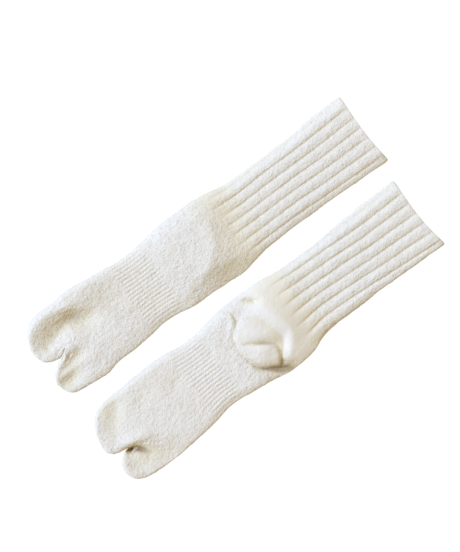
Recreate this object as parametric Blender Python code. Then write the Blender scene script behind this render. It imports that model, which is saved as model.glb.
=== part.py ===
"""A pair of tabi socks in thick pile knit, laid flat side by side.

Each sock is one knitted tube with thick walls. It is open at its ribbed cuff and closed at the toes,
where it parts into a pocket for the big toe and a pocket for the other four. Wide ribs run down the
leg, a band of fine ribs grips the arch, and the foot, ankle and heel are smooth pile.
The right sock lies instep up, over its own heel. The left sock lies sole up, its heel pouch on top.

Sizes are in millimetres, in each sock's own frame: x runs from the toes to the cuff, y runs across,
with the big toe on the low side, and z is up from the surface that the sock lies on.
"""
import math
from collections import namedtuple

import bmesh
import bpy
from mathutils import Vector

MILLIMETRE = 0.001
PAIR_NAME = "pair_of_tabi_socks"

# A section of the flattened tube: the places of its two side folds, the height of the two panels
# lying on each other, the slack between them inside, and how far the upper panel swells.
Section = namedtuple("Section", "x low high height slack swell")
# A section of a toe pocket: its edge beside the other pocket, and its edge on the foot's own side.
Pocket = namedtuple("Pocket", "x inner outer")
# A soft mound on the upper panel: a steep share of 1 falls all the way from its middle.
Mound = namedtuple("Mound", "x y half_length half_width turn rise steep_share")
# A trough along a few places, or a ridge where its depth is below zero.
Crease = namedtuple("Crease", "half_width depth places")
# A stretch of the tube and the spacing of its rings.
Stretch = namedtuple("Stretch", "start end spacing")
# The steps between the points round a ring: up each side fold, over the upper panel, down each side
# fold, under the lower panel. The toes part after split_upper and split_lower steps.
Steps = namedtuple("Steps", "fold upper under_fold lower web split_upper split_lower")
Sock = namedtuple("Sock", "name length flares sections crotch big_toe four_toes mounds hollow creases "
                  "arch_band leg_ribs first_groove stretches split place turn")

RIB_DEPTH = 3.0
RIB_STEPS = 6
RIB_FULLNESS = 0.6
FINE_RIB_DEPTH = 0.9
FINE_RIB_STEPS = 2
SIDE_RIB_SHARE = 0.4
BAND_FADE = 3.0
LEG_RIB_FADE = 22.0
CUFF_SCALLOP = 0.6
CUFF_FLARE_REACH = 40.0
WELT_REACH = 5.0
WELT_FILL = 0.5
TOE_FOLD_REACH = 9.0
SWELL_FULLNESS = 0.7
SIDE_FADE = 22.0
SHARP_ANGLE = 46.0
PILE_COLOUR = (0.84, 0.83, 0.80, 1.0)
PILE_ROUGHNESS = 0.95

RIGHT_SECTIONS = (
    Section(28.0, -43.5, 44.5, 11.0, 1.2, 1.2),
    Section(48.0, -45.0, 45.0, 10.6, 1.2, 1.4),
    Section(66.0, -41.8, 46.4, 10.4, 1.2, 1.4),
    Section(84.0, -41.5, 44.0, 10.2, 1.2, 1.2),
    Section(104.0, -40.2, 41.6, 9.4, 1.2, 1.0),
    Section(122.0, -37.8, 39.2, 8.6, 1.0, 0.8),
    Section(140.0, -38.6, 39.2, 8.8, 1.0, 1.0),
    Section(158.0, -42.0, 41.6, 9.8, 1.2, 1.4),
    Section(180.0, -42.7, 43.8, 10.6, 1.2, 1.8),
    Section(204.0, -43.8, 44.0, 10.6, 1.2, 1.8),
    Section(219.0, -44.6, 43.8, 10.4, 1.2, 1.4),
    Section(236.0, -41.6, 41.2, 9.6, 1.2, 1.0),
    Section(256.0, -38.6, 37.4, 8.4, 1.2, 0.6),
    Section(290.0, -37.8, 36.4, 8.0, 1.2, 0.4),
    Section(330.0, -38.0, 37.0, 8.0, 1.2, 0.4),
    Section(362.0, -39.0, 39.4, 8.2, 1.4, 0.4),
    Section(398.0, -40.4, 40.0, 9.2, 3.0, 0.4),
)
RIGHT_FOUR_TOES = (
    Pocket(0.0, 11.5, 19.5),
    Pocket(2.0, 4.9, 25.1),
    Pocket(5.0, 0.6, 31.8),
    Pocket(10.0, -2.4, 37.9),
    Pocket(16.0, -4.1, 42.2),
    Pocket(22.0, -3.8, 43.9),
    Pocket(27.0, 0.2, 44.4),
)
RIGHT_BIG_TOE = (
    Pocket(1.2, -21.4, -26.4),
    Pocket(3.0, -17.6, -31.5),
    Pocket(6.0, -12.9, -36.7),
    Pocket(10.0, -9.9, -40.1),
    Pocket(16.0, -6.4, -42.1),
    Pocket(22.0, -4.6, -42.9),
    Pocket(27.0, -0.6, -43.4),
)
# The heel is folded away under the right ankle and lifts it, most of all towards the foot.
RIGHT_MOUNDS = (
    Mound(182.0, 11.0, 46.0, 46.0, -12.0, 6.0, 0.7),
)
# The rim round the heel pouch, where the underside stands off the surface.
RIGHT_HOLLOW = Mound(188.0, 4.0, 27.0, 36.0, 0.0, 2.2, 0.25)
RIGHT_CREASES = (
    Crease(4.0, 1.2, ((58.0, 20.0), (53.0, 30.0), (35.0, 34.0), (20.0, 27.0), (15.0, 20.0))),
    Crease(4.0, 1.2, ((40.0, -5.0), (26.0, -10.5))),
    Crease(4.5, 0.9, ((24.0, -21.0), (11.0, -23.0))),
    Crease(3.4, 1.8, ((31.0, 1.6), (42.0, 2.5))),
    Crease(9.0, 2.4, ((196.0, -32.0), (214.0, -22.0), (229.0, 2.0))),
)

LEFT_SECTIONS = (
    Section(28.0, -45.0, 42.2, 11.0, 1.2, 1.2),
    Section(50.0, -46.0, 42.8, 10.6, 1.2, 1.4),
    Section(66.0, -45.4, 43.8, 10.4, 1.2, 1.4),
    Section(84.0, -44.2, 44.0, 10.2, 1.2, 1.2),
    Section(104.0, -42.2, 43.2, 9.4, 1.2, 1.0),
    Section(124.0, -38.6, 39.8, 8.6, 1.0, 0.8),
    Section(140.0, -38.8, 39.6, 8.8, 1.0, 1.0),
    Section(156.0, -41.4, 41.5, 9.8, 1.2, 1.4),
    Section(176.0, -43.6, 44.2, 10.6, 1.2, 1.6),
    Section(196.0, -47.4, 44.6, 10.8, 1.2, 1.6),
    Section(214.0, -47.6, 44.0, 10.8, 1.2, 1.6),
    Section(228.0, -45.8, 43.0, 10.4, 1.2, 1.4),
    Section(240.0, -41.0, 40.8, 9.6, 1.2, 1.0),
    Section(254.0, -38.2, 39.2, 8.4, 1.2, 0.6),
    Section(290.0, -38.2, 38.4, 8.0, 1.2, 0.4),
    Section(330.0, -38.6, 40.0, 8.0, 1.2, 0.4),
    Section(360.0, -39.8, 40.8, 8.2, 1.4, 0.4),
    Section(392.0, -41.0, 40.2, 9.2, 3.0, 0.4),
)
LEFT_FOUR_TOES = (
    Pocket(0.0, 1.2, 9.6),
    Pocket(2.0, -2.0, 18.4),
    Pocket(5.0, -4.8, 26.0),
    Pocket(10.0, -6.8, 33.6),
    Pocket(16.0, -8.2, 38.4),
    Pocket(22.0, -8.6, 40.8),
    Pocket(27.0, -8.6, 41.8),
)
LEFT_BIG_TOE = (
    Pocket(3.0, -24.6, -28.8),
    Pocket(4.6, -19.8, -33.2),
    Pocket(8.0, -14.4, -38.6),
    Pocket(12.0, -11.0, -41.6),
    Pocket(17.0, -9.4, -43.4),
    Pocket(22.0, -9.2, -44.2),
    Pocket(27.0, -9.2, -44.7),
)
# The heel pouch, folded flat on the sole, and the fullness of the ankle round it.
LEFT_MOUNDS = (
    Mound(189.0, -6.0, 22.0, 31.0, -6.0, 9.5, 0.45),
    Mound(200.0, -4.0, 40.0, 48.0, 0.0, 2.5, 0.8),
)
LEFT_CREASES = (
    Crease(5.5, -4.2, ((205.0, 24.0), (213.0, 10.0), (216.5, -5.0), (214.0, -19.0), (204.0, -31.0))),
    Crease(4.0, 3.0, ((209.0, -14.0), (201.0, -24.0), (195.0, -32.0))),
    Crease(4.0, 3.2, ((176.0, 1.0), (185.0, -6.0), (193.0, -13.0), (198.0, -22.0))),
    Crease(3.6, 3.2, ((181.0, -33.0), (189.0, -38.0), (197.0, -45.0))),
    Crease(3.6, 1.6, ((170.0, 9.0), (181.0, 25.0), (182.0, 37.0))),
    Crease(4.5, 2.8, ((203.0, 34.0), (210.0, 28.0))),
    Crease(3.4, 1.6, ((31.0, -9.5), (47.0, -21.0))),
    Crease(4.5, 0.8, ((12.0, 17.0), (26.0, 25.0), (48.0, 27.0))),
)

RIGHT_STRETCHES = (
    Stretch(29.5, 60.0, 6.5),
    Stretch(60.0, 104.0, 11.0),
    Stretch(114.0, 146.0, 16.0),
    Stretch(158.0, 232.0, 6.2),
    Stretch(232.0, 262.0, 7.5),
    Stretch(262.0, 390.0, 26.0),
)
LEFT_STRETCHES = (
    Stretch(29.5, 49.0, 5.0),
    Stretch(49.0, 100.0, 13.0),
    Stretch(111.0, 140.0, 15.0),
    Stretch(152.0, 166.0, 7.0),
    Stretch(166.0, 220.0, 3.2),
    Stretch(220.0, 260.0, 6.7),
    Stretch(260.0, 384.0, 25.0),
)

OUTER_STEPS = Steps(4, 37, 2, 10, 4, 0, 0)
INNER_STEPS = Steps(1, 12, 1, 6, 2, 0, 0)
INNER_STATIONS = 15
# The knitted edge of the cuff turns in over the wall: how far each ring stands before the end, how
# much of the wall it has gone in, and how much of the ribs it keeps.
RIM_RINGS = ((5.0, 0.0, 1.0), (1.6, 0.06, 0.85), (0.3, 0.3, 0.5), (0.3, 0.7, 0.0))

RIGHT_SOCK = Sock("right_sock", 397.8, (3.0, 1.6), RIGHT_SECTIONS, 29.5, RIGHT_BIG_TOE, RIGHT_FOUR_TOES,
                  RIGHT_MOUNDS, RIGHT_HOLLOW, RIGHT_CREASES, (109.0, 151.0), 234.0, 1,
                  RIGHT_STRETCHES, 0.507, (-196.0, 50.5), 0.0)
LEFT_SOCK = Sock("left_sock", 391.6, (4.0, 2.0), LEFT_SECTIONS, 29.5, LEFT_BIG_TOE, LEFT_FOUR_TOES,
                 LEFT_MOUNDS, None, LEFT_CREASES, (106.0, 145.0), 236.0, 2,
                 LEFT_STRETCHES, 0.40, (-196.0, -58.0), 1.2)


def clear_scene():
    for item in list(bpy.data.objects):
        bpy.data.objects.remove(item, do_unlink=True)


def ease(share):
    """Smooth step from 0 to 1."""
    share = min(max(share, 0.0), 1.0)
    return share * share * (3.0 - 2.0 * share)


def cubic(start, start_rise, end, end_rise, share):
    """Point of a cubic curve between two values, leaving and arriving at the given rises."""
    back = 1.0 - share
    bend = share * back * (back * start_rise - share * end_rise)
    return start + (end - start) * ease(share) + bend


def row_at(rows, x):
    """A table's row at x, on smooth curves through its rows."""
    x = min(max(x, rows[0].x), rows[-1].x)
    place = 0
    while place < len(rows) - 2 and x > rows[place + 1].x:
        place += 1
    before = rows[max(place - 1, 0)]
    start = rows[place]
    end = rows[place + 1]
    after = rows[min(place + 2, len(rows) - 1)]
    span = end.x - start.x
    share = (x - start.x) / span
    values = []
    for column in range(len(start)):
        start_rise = (end[column] - before[column]) / (end.x - before.x) * span
        end_rise = (after[column] - start[column]) / (after.x - start.x) * span
        values.append(cubic(start[column], start_rise, end[column], end_rise, share))
    return type(start)(*values)


def distance_to_path(x, y, places):
    """Shortest distance from a point to a path of straight legs."""
    point = Vector((x, y))
    nearest = math.inf
    for start, end in zip(places, places[1:]):
        start = Vector(start)
        leg = Vector(end) - start
        share = min(max((point - start).dot(leg) / leg.length_squared, 0.0), 1.0)
        nearest = min(nearest, (point - start - leg * share).length)
    return nearest


def mound_reach(mound, x, y):
    """Distance from a mound's middle, as a share of its size that way."""
    turn = math.radians(mound.turn)
    along = (x - mound.x) * math.cos(turn) + (y - mound.y) * math.sin(turn)
    across = (y - mound.y) * math.cos(turn) - (x - mound.x) * math.sin(turn)
    return math.hypot(along / mound.half_length, across / mound.half_width)


def mound_height(mound, x, y):
    return mound.rise * ease((1.0 - mound_reach(mound, x, y)) / mound.steep_share)


def hollow_height(hollow, x, y):
    """Height of the underside over the surface, in a ring round the heel pouch."""
    if hollow is None:
        return 0.0
    away = abs(mound_reach(hollow, x, y) - 1.0)
    return hollow.rise * ease(1.0 - away / hollow.steep_share)


def panel_swell(section, x, y):
    across = (y - section.low) / (section.high - section.low)
    return section.swell * math.sin(math.pi * min(max(across, 0.0), 1.0)) ** SWELL_FULLNESS


def body_lift(sock, section, x, y):
    """Lift of the upper panel and of the slack under it."""
    lift = panel_swell(section, x, y)
    if sock.hollow is not None:
        from_side = min(y - section.low, section.high - y) / SIDE_FADE
        lift += sum(mound_height(mound, x, y) for mound in sock.mounds) * ease(from_side)
    return lift


def surface_lift(sock, section, x, y):
    """Lift of the upper panel's outer face, with its mounds, ridges and troughs."""
    lift = panel_swell(section, x, y)
    lift += sum(mound_height(mound, x, y) for mound in sock.mounds)
    for crease in sock.creases:
        away = distance_to_path(x, y, crease.places) / crease.half_width
        lift -= crease.depth * math.exp(-away * away)
    return lift


def leg_rib(sock, x, column):
    """Height of the wide ribs of the leg at one column of points."""
    turn = ((column - sock.first_groove) % RIB_STEPS) / RIB_STEPS
    roundness = math.sin(math.pi * turn) ** RIB_FULLNESS if turn else 0.0
    welt = WELT_FILL * ease((x - sock.length + WELT_REACH + 2.0) / WELT_REACH)
    roundness = welt + (1.0 - welt) * roundness
    return RIB_DEPTH * roundness * ease((x - sock.leg_ribs) / LEG_RIB_FADE)


def arch_rib(sock, x, column):
    """Height of the fine ribs of the arch band at one column of points."""
    start, end = sock.arch_band
    fade = ease((x - start) / BAND_FADE) * ease((end - x) / BAND_FADE)
    return FINE_RIB_DEPTH * fade * (column % FINE_RIB_STEPS)


def outline_point(low, high, folds, floor, height, run):
    """A point round a flattened section, and the way that it faces.

    From 0 to 1 it climbs the low fold, to 2 it crosses the upper panel, to 4 it goes down the high
    fold, to 5 it crosses back under the lower panel, and to 6 it starts up the low fold again.
    """
    run = run % 6.0
    low_centre = low + folds[0]
    high_centre = high - folds[1]
    if 1.0 <= run < 2.0:
        return low_centre + (high_centre - low_centre) * (run - 1.0), floor + height, 0.0, 1.0
    if 4.0 <= run < 5.0:
        return high_centre + (low_centre - high_centre) * (run - 4.0), floor, 0.0, -1.0
    if 2.0 <= run < 4.0:
        angle = math.radians(90.0 * (3.0 - run))
        centre = high_centre
        fold = folds[1]
    else:
        angle = math.radians(180.0 - 90.0 * (run if run < 1.0 else run - 6.0))
        centre = low_centre
        fold = folds[0]
    outward = math.cos(angle)
    upward = math.sin(angle)
    return centre + fold * outward, floor + height * (1.0 + upward) / 2.0, outward, upward


def even_steps(start, end, steps):
    """Evenly spaced values from start, without the end."""
    return [start + (end - start) * step / steps for step in range(steps)]


def body_runs(steps):
    return (even_steps(0, 1, steps.fold) + even_steps(1, 2, steps.upper)
            + even_steps(2, 3, steps.fold) + even_steps(3, 4, steps.under_fold)
            + even_steps(4, 5, steps.lower) + even_steps(5, 6, steps.under_fold))


def high_pocket_runs(steps):
    """Round the pocket on the high side: from the parting over the top, under, and up the web."""
    return (even_steps(1, 2, steps.upper - steps.split_upper) + even_steps(2, 3, steps.fold)
            + even_steps(3, 4, steps.under_fold) + even_steps(4, 5, steps.split_lower)
            + even_steps(5, 7, steps.web))


def low_pocket_runs(steps):
    """Round the pocket on the low side: from the parting under, over the top, and down the web."""
    return (even_steps(4, 5, steps.lower - steps.split_lower)
            + even_steps(5, 6, steps.under_fold) + even_steps(6, 7, steps.fold)
            + even_steps(7, 8, steps.split_upper) + even_steps(8, 10, steps.web))


def cuff_shift(sock, section, x, y):
    """How far the cuff's corners run on past its middle."""
    across = 2.0 * (y - section.low) / (section.high - section.low) - 1.0
    flare = sock.flares[0] if across < 0.0 else sock.flares[1]
    return flare * across * across * ease((x - sock.length) / CUFF_FLARE_REACH + 1.0)


def wall_of(section):
    return (section.height - section.slack) / 2.0


def body_ring(sock, steps, x, inset_share=0.0, rib_share=1.0, inside=False):
    """Points round the tube at x, gone into the wall by a share of its thickness."""
    section = row_at(sock.sections, x)
    inset = wall_of(section) * inset_share
    height = section.height - 2.0 * inset
    low = section.low + inset
    high = section.high - inset
    folds = (height / 2.0, height / 2.0)
    points = []
    for column, run in enumerate(body_runs(steps)):
        y, z, outward, upward = outline_point(low, high, folds, inset, height, run)
        rib = 0.0
        if inside:
            z += body_lift(sock, section, x, y)
        elif run < 3.0:
            side = SIDE_RIB_SHARE + (1.0 - SIDE_RIB_SHARE) * ease(min(run, 3.0 - run))
            rib = leg_rib(sock, x, column) + arch_rib(sock, x, column)
            rib *= side * rib_share
            z += surface_lift(sock, section, x, y) * upward * (1.0 - inset_share)
        elif upward < -0.99:
            z += hollow_height(sock.hollow, x, y)
        shift = cuff_shift(sock, section, x, y)
        shift += CUFF_SCALLOP * rib / RIB_DEPTH * ease((x - sock.length) / WELT_REACH + 1.0)
        points.append((x + shift, y + rib * outward, z + rib * upward))
    return points


def pocket_ring(sock, pocket, steps, runs, x, inside=False):
    """Points round a toe pocket at x. It is lower at its tip, which is round from the side too."""
    section = row_at(sock.sections, x)
    row = row_at(pocket, x)
    low = min(row.inner, row.outer)
    high = max(row.inner, row.outer)
    wall = wall_of(section) if inside else 0.0
    tip = pocket[0].x + wall - 0.4
    radius = section.height / 2.0 - wall
    short = max(1.0 - (x - tip) / radius, 0.0)
    height = 2.0 * radius * math.sqrt(1.0 - short * short)
    floor = (section.height - height) / 2.0
    low += wall
    high -= wall
    outer_fold = min(height / 2.0, (high - low) * 0.45)
    inner_fold = outer_fold * ease((sock.crotch + wall - x) / TOE_FOLD_REACH)
    inner_fold = max(inner_fold, 0.2)
    folds = (inner_fold, outer_fold) if row.inner < row.outer else (outer_fold, inner_fold)
    points = []
    for run in runs:
        y, z, outward, upward = outline_point(low, high, folds, floor, height, run)
        if not inside:
            z += surface_lift(sock, section, x, y) * max(upward, 0.0) * height / section.height
        points.append((x, y, z))
    return points


def ring_stations(sock):
    """Places of the rings along the tube, close together where the surface changes."""
    stations = set()
    for stretch in sock.stretches:
        steps = math.ceil((stretch.end - stretch.start) / stretch.spacing)
        stations.update(even_steps(stretch.start, stretch.end, steps) + [stretch.end])
    band_start, band_end = sock.arch_band
    stations.update((band_start, band_start + BAND_FADE, band_end - BAND_FADE, band_end))
    return sorted(stations)


def pocket_stations(pocket):
    """Places of the rings of a toe pocket, twice as close over its round tip."""
    stations = [row.x for row in pocket]
    stations += [(row.x + after.x) / 2.0 for row, after in zip(pocket[:3], pocket[1:])]
    return sorted(stations, reverse=True)


def add_ring(mesh, points):
    return [mesh.verts.new(Vector(point) * MILLIMETRE) for point in points]


def join_rings(mesh, first, second):
    """A band of faces between two rings with the same number of points."""
    for place in range(len(first)):
        after = (place + 1) % len(first)
        mesh.faces.new((first[place], first[after], second[after], second[place]))


def stitch_rings(mesh, first, first_runs, second, second_runs):
    """A band of triangles between rings with unlike numbers of points, matched by their runs."""
    first_place = 0
    second_place = 0
    first_runs = first_runs + [6.0, math.inf]
    second_runs = second_runs + [6.0, math.inf]
    while first_place < len(first) or second_place < len(second):
        first_vert = first[first_place % len(first)]
        second_vert = second[second_place % len(second)]
        if first_runs[first_place + 1] <= second_runs[second_place + 1]:
            first_place += 1
            mesh.faces.new((first_vert, first[first_place % len(first)], second_vert))
        else:
            second_place += 1
            mesh.faces.new((first_vert, second[second_place % len(second)], second_vert))


def close_tip(mesh, ring):
    """A fan of faces over the last ring of a pocket."""
    middle = sum((vert.co for vert in ring), Vector()) / len(ring)
    centre = mesh.verts.new(middle)
    for place in range(len(ring)):
        mesh.faces.new((ring[place], ring[(place + 1) % len(ring)], centre))


def split_steps(sock, steps):
    """Sets where the toes part, as steps along the upper and the lower panel."""
    upper = round(steps.upper * sock.split)
    lower = round(steps.lower * (1.0 - sock.split))
    return steps._replace(split_upper=upper, split_lower=lower)


def add_pockets(mesh, sock, steps, ring, inside):
    """Both toe pockets, from the tube's last ring: they share the web between the toes."""
    top = steps.fold + steps.split_upper
    bottom = 2 * steps.fold + steps.upper + steps.under_fold + steps.split_lower
    web = []
    for step in range(1, steps.web):
        share = step / steps.web
        web.append(mesh.verts.new(ring[bottom].co.lerp(ring[top].co, share)))
    roots = (ring[top:bottom + 1] + web, ring[bottom:] + ring[:top + 1] + web[::-1])
    runs = (high_pocket_runs(steps), low_pocket_runs(steps))
    for pocket, root, pocket_runs in zip((sock.four_toes, sock.big_toe), roots, runs):
        last = root
        wall = wall_of(row_at(sock.sections, pocket[0].x)) if inside else 0.0
        places = pocket_stations(pocket)
        if inside:
            start = pocket[0].x + wall
            places = [sock.crotch, (sock.crotch + start) / 2.0, start + 3.0, start + 0.6]
        for x in places:
            points = pocket_ring(sock, pocket, steps, pocket_runs, x, inside)
            following = add_ring(mesh, points)
            join_rings(mesh, last, following)
            last = following
        close_tip(mesh, last)


def outer_wall(mesh, sock):
    """The outer face from the toes to the cuff, with the rim. Returns the rim's last ring."""
    steps = split_steps(sock, OUTER_STEPS)
    last = None
    for x in ring_stations(sock):
        following = add_ring(mesh, body_ring(sock, steps, x))
        if last is None:
            add_pockets(mesh, sock, steps, following, inside=False)
        else:
            join_rings(mesh, last, following)
        last = following
    for before_end, inset_share, rib_share in RIM_RINGS:
        points = body_ring(sock, steps, sock.length - before_end, inset_share, rib_share)
        following = add_ring(mesh, points)
        join_rings(mesh, last, following)
        last = following
    return last


def inner_wall(mesh, sock, rim):
    """The plain inner face, from the rim back to the toes."""
    steps = split_steps(sock, INNER_STEPS)
    web_place = sock.crotch + 2.0 * wall_of(row_at(sock.sections, sock.crotch))
    stations = even_steps(sock.length - 2.0, web_place, INNER_STATIONS) + [web_place]
    last = None
    for x in stations:
        following = add_ring(mesh, body_ring(sock, steps, x, inset_share=1.0, inside=True))
        if last is None:
            stitch_rings(mesh, rim, body_runs(OUTER_STEPS), following, body_runs(INNER_STEPS))
        else:
            join_rings(mesh, last, following)
        last = following
    add_pockets(mesh, sock, steps, last, inside=True)


def pile_material(name):
    material = bpy.data.materials.new(name)
    material.use_nodes = True
    shader = material.node_tree.nodes["Principled BSDF"]
    shader.inputs["Base Color"].default_value = PILE_COLOUR
    shader.inputs["Roughness"].default_value = PILE_ROUGHNESS
    shader.inputs["Metallic"].default_value = 0.0
    return material


def make_sock(sock, collection):
    """One sock as one closed wall, laid in its place."""
    mesh = bmesh.new()
    rim = outer_wall(mesh, sock)
    inner_wall(mesh, sock, rim)
    bmesh.ops.triangulate(mesh, faces=mesh.faces[:])
    bmesh.ops.recalc_face_normals(mesh, faces=mesh.faces[:])
    data = bpy.data.meshes.new(sock.name)
    mesh.to_mesh(data)
    mesh.free()
    data.shade_smooth()
    data.set_sharp_from_angle(angle=math.radians(SHARP_ANGLE))
    data.materials.append(pile_material(sock.name + "_pile"))
    item = bpy.data.objects.new(sock.name, data)
    collection.objects.link(item)
    item.location = Vector((sock.place[0], sock.place[1], 0.0)) * MILLIMETRE
    item.rotation_euler.z = math.radians(sock.turn)
    return item


def centre_on_origin(anchor, socks):
    """Moves the pair so that the middle of its box, on the surface, is the origin."""
    bpy.context.view_layer.update()
    corners = []
    for sock in socks:
        corners.extend(sock.matrix_world @ vert.co for vert in sock.data.vertices)
    for axis in (0, 1):
        values = [corner[axis] for corner in corners]
        anchor.location[axis] = -(min(values) + max(values)) / 2.0
    anchor.location[2] = -min(corner[2] for corner in corners)


def main():
    clear_scene()
    collection = bpy.data.collections.new(PAIR_NAME)
    bpy.context.scene.collection.children.link(collection)
    anchor = bpy.data.objects.new("pair_centre", None)
    collection.objects.link(anchor)
    socks = [make_sock(sock, collection) for sock in (RIGHT_SOCK, LEFT_SOCK)]
    centre_on_origin(anchor, socks)
    for sock in socks:
        sock.parent = anchor


main()
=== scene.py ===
import math

import bmesh
import bpy
import numpy as np
from mathutils import Matrix, Vector, noise


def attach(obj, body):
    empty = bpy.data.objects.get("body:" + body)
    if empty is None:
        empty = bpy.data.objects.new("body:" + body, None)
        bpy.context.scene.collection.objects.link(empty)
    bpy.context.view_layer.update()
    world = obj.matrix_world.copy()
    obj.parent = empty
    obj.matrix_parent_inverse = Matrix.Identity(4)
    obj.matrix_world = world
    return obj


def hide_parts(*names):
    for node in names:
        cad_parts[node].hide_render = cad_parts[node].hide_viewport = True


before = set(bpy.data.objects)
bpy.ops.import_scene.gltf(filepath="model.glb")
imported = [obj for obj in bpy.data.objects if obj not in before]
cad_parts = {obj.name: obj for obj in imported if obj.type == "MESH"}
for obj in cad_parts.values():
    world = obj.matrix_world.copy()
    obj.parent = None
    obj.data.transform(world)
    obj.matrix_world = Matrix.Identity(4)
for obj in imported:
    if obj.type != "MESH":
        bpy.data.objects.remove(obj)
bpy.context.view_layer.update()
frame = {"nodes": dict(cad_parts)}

mm = 0.001
print("frame loaded:", ", ".join(frame["nodes"]))


# every table and place below is in millimetres, in a sock's own frame, with x from the toes to the
# cuff, y across and the big toe on the low side


def clamp(share):
    return np.clip(share, 0.0, 1.0)


def ease(share):
    share = clamp(share)
    return share * share * (3.0 - 2.0 * share)


def blend(start, end, share):
    return start + (end - start) * share


def tableAt(rows, places):
    # a table's rows at some places of its first column, on smooth curves through its rows
    table = np.array(rows, float)
    x = np.clip(places, table[0, 0], table[-1, 0])
    row = np.clip(np.searchsorted(table[:, 0], x, side="right") - 1, 0, len(table) - 2)
    before = table[np.maximum(row - 1, 0)]
    start = table[row]
    end = table[row + 1]
    after = table[np.minimum(row + 2, len(table) - 1)]
    span = (end - start)[:, :1]
    share = (x[:, None] - start[:, :1]) / span
    startRise = (end - before) / (end - before)[:, :1] * span
    endRise = (after - start) / (after - start)[:, :1] * span
    back = 1.0 - share
    bend = share * back * (back * startRise - share * endRise)
    return blend(start, end, ease(share)) + bend


def columnsAt(rows, places):
    # the columns after the first, each as one value for each row of points
    table = tableAt(rows, places)
    return [table[:, [column]] for column in range(1, table.shape[1])]


def smoothPath(places):
    # a soft curve through the rows of a fold line, in four steps from each row to the next
    rows = [(index,) + tuple(place) for index, place in enumerate(places)]
    last = len(places) - 1
    return tableAt(rows, np.linspace(0, last, 4 * last + 1))[:, 1:]


def foldDepth(x, y, places, crispness):
    # a fold line's places are (x, y, depth, half width) or (x, y, depth, half width to the left of
    # the line, half width to the right): a trough, or a ridge where depth is below zero
    path = smoothPath([place if len(place) == 5 else place + place[3:] for place in places])
    legs = []
    nearest = np.full(x.shape, np.inf)
    onLeft = np.zeros(x.shape, bool)
    for start, end in zip(path[:-1], path[1:]):
        leg = end[:2] - start[:2]
        share = clamp(((x - start[0]) * leg[0] + (y - start[1]) * leg[1]) / leg.dot(leg))
        away = np.hypot(x - start[0] - share * leg[0], y - start[1] - share * leg[1])
        offset = (leg[0] * (y - start[1]) - leg[1] * (x - start[0])) / math.sqrt(leg.dot(leg))
        reach = away - 0.01 * np.abs(offset)  # at a corner the leg that faces the place decides
        onLeft = np.where(reach < nearest, offset > 0.0, onLeft)
        nearest = np.minimum(nearest, reach)
        legs.append((start, end, share, away))
    nearest = np.full(x.shape, np.inf)
    depth = np.zeros(x.shape)
    for start, end, share, away in legs:
        width = np.where(onLeft, blend(start[3], end[3], share), blend(start[4], end[4], share))
        closer = away / width < nearest
        nearest = np.where(closer, away / width, nearest)
        depth = np.where(closer, blend(start[2], end[2], share), depth)
    return depth * np.exp(-nearest ** crispness)


def ovalReach(x, y, oval):
    # how far out from an oval's middle a place is: 1 on its edge
    turn = math.radians(oval["turn"])
    along = (x - oval["x"]) * math.cos(turn) + (y - oval["y"]) * math.sin(turn)
    across = (y - oval["y"]) * math.cos(turn) - (x - oval["x"]) * math.sin(turn)
    return np.hypot(along / oval["halfLength"], across / oval["halfWidth"])


def moundHeight(x, y, mound):
    return mound["rise"] * ease((1.0 - ovalReach(x, y, mound)) / mound["steepShare"])


def insideShare(x, y, outline):
    # how far in from a closed outline of places (x, y, reach, fullness), as a share of the nearest
    # reach, and how full the nearest edge is
    path = smoothPath(outline + outline[:1])
    nearest = np.ones(x.shape)
    fullness = np.zeros(x.shape)
    inside = np.zeros(x.shape, bool)
    for start, end in zip(path[:-1], path[1:]):
        startX, startY = start[:2]
        legX, legY = end[:2] - start[:2]
        share = clamp(((x - startX) * legX + (y - startY) * legY) / (legX * legX + legY * legY))
        away = np.hypot(x - startX - share * legX, y - startY - share * legY)
        away /= blend(start[2], end[2], share)
        fullness = np.where(away < nearest, blend(start[3], end[3], share), fullness)
        nearest = np.minimum(nearest, away)
        if legY:
            crossed = ((startY > y) != (end[1] > y)) & (x < startX + legX * (y - startY) / legY)
            inside ^= crossed
    return np.where(inside, nearest, 0.0), fullness


def roughness3d(x, y, z, size, seed):
    # smooth random bumps of one size, from -1 to 1, the same each run
    points = np.stack(np.broadcast_arrays(x, y, z), -1).reshape(-1, 3) / size + seed
    return np.array([noise.noise(point) for point in points.tolist()]).reshape(np.shape(x))


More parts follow.
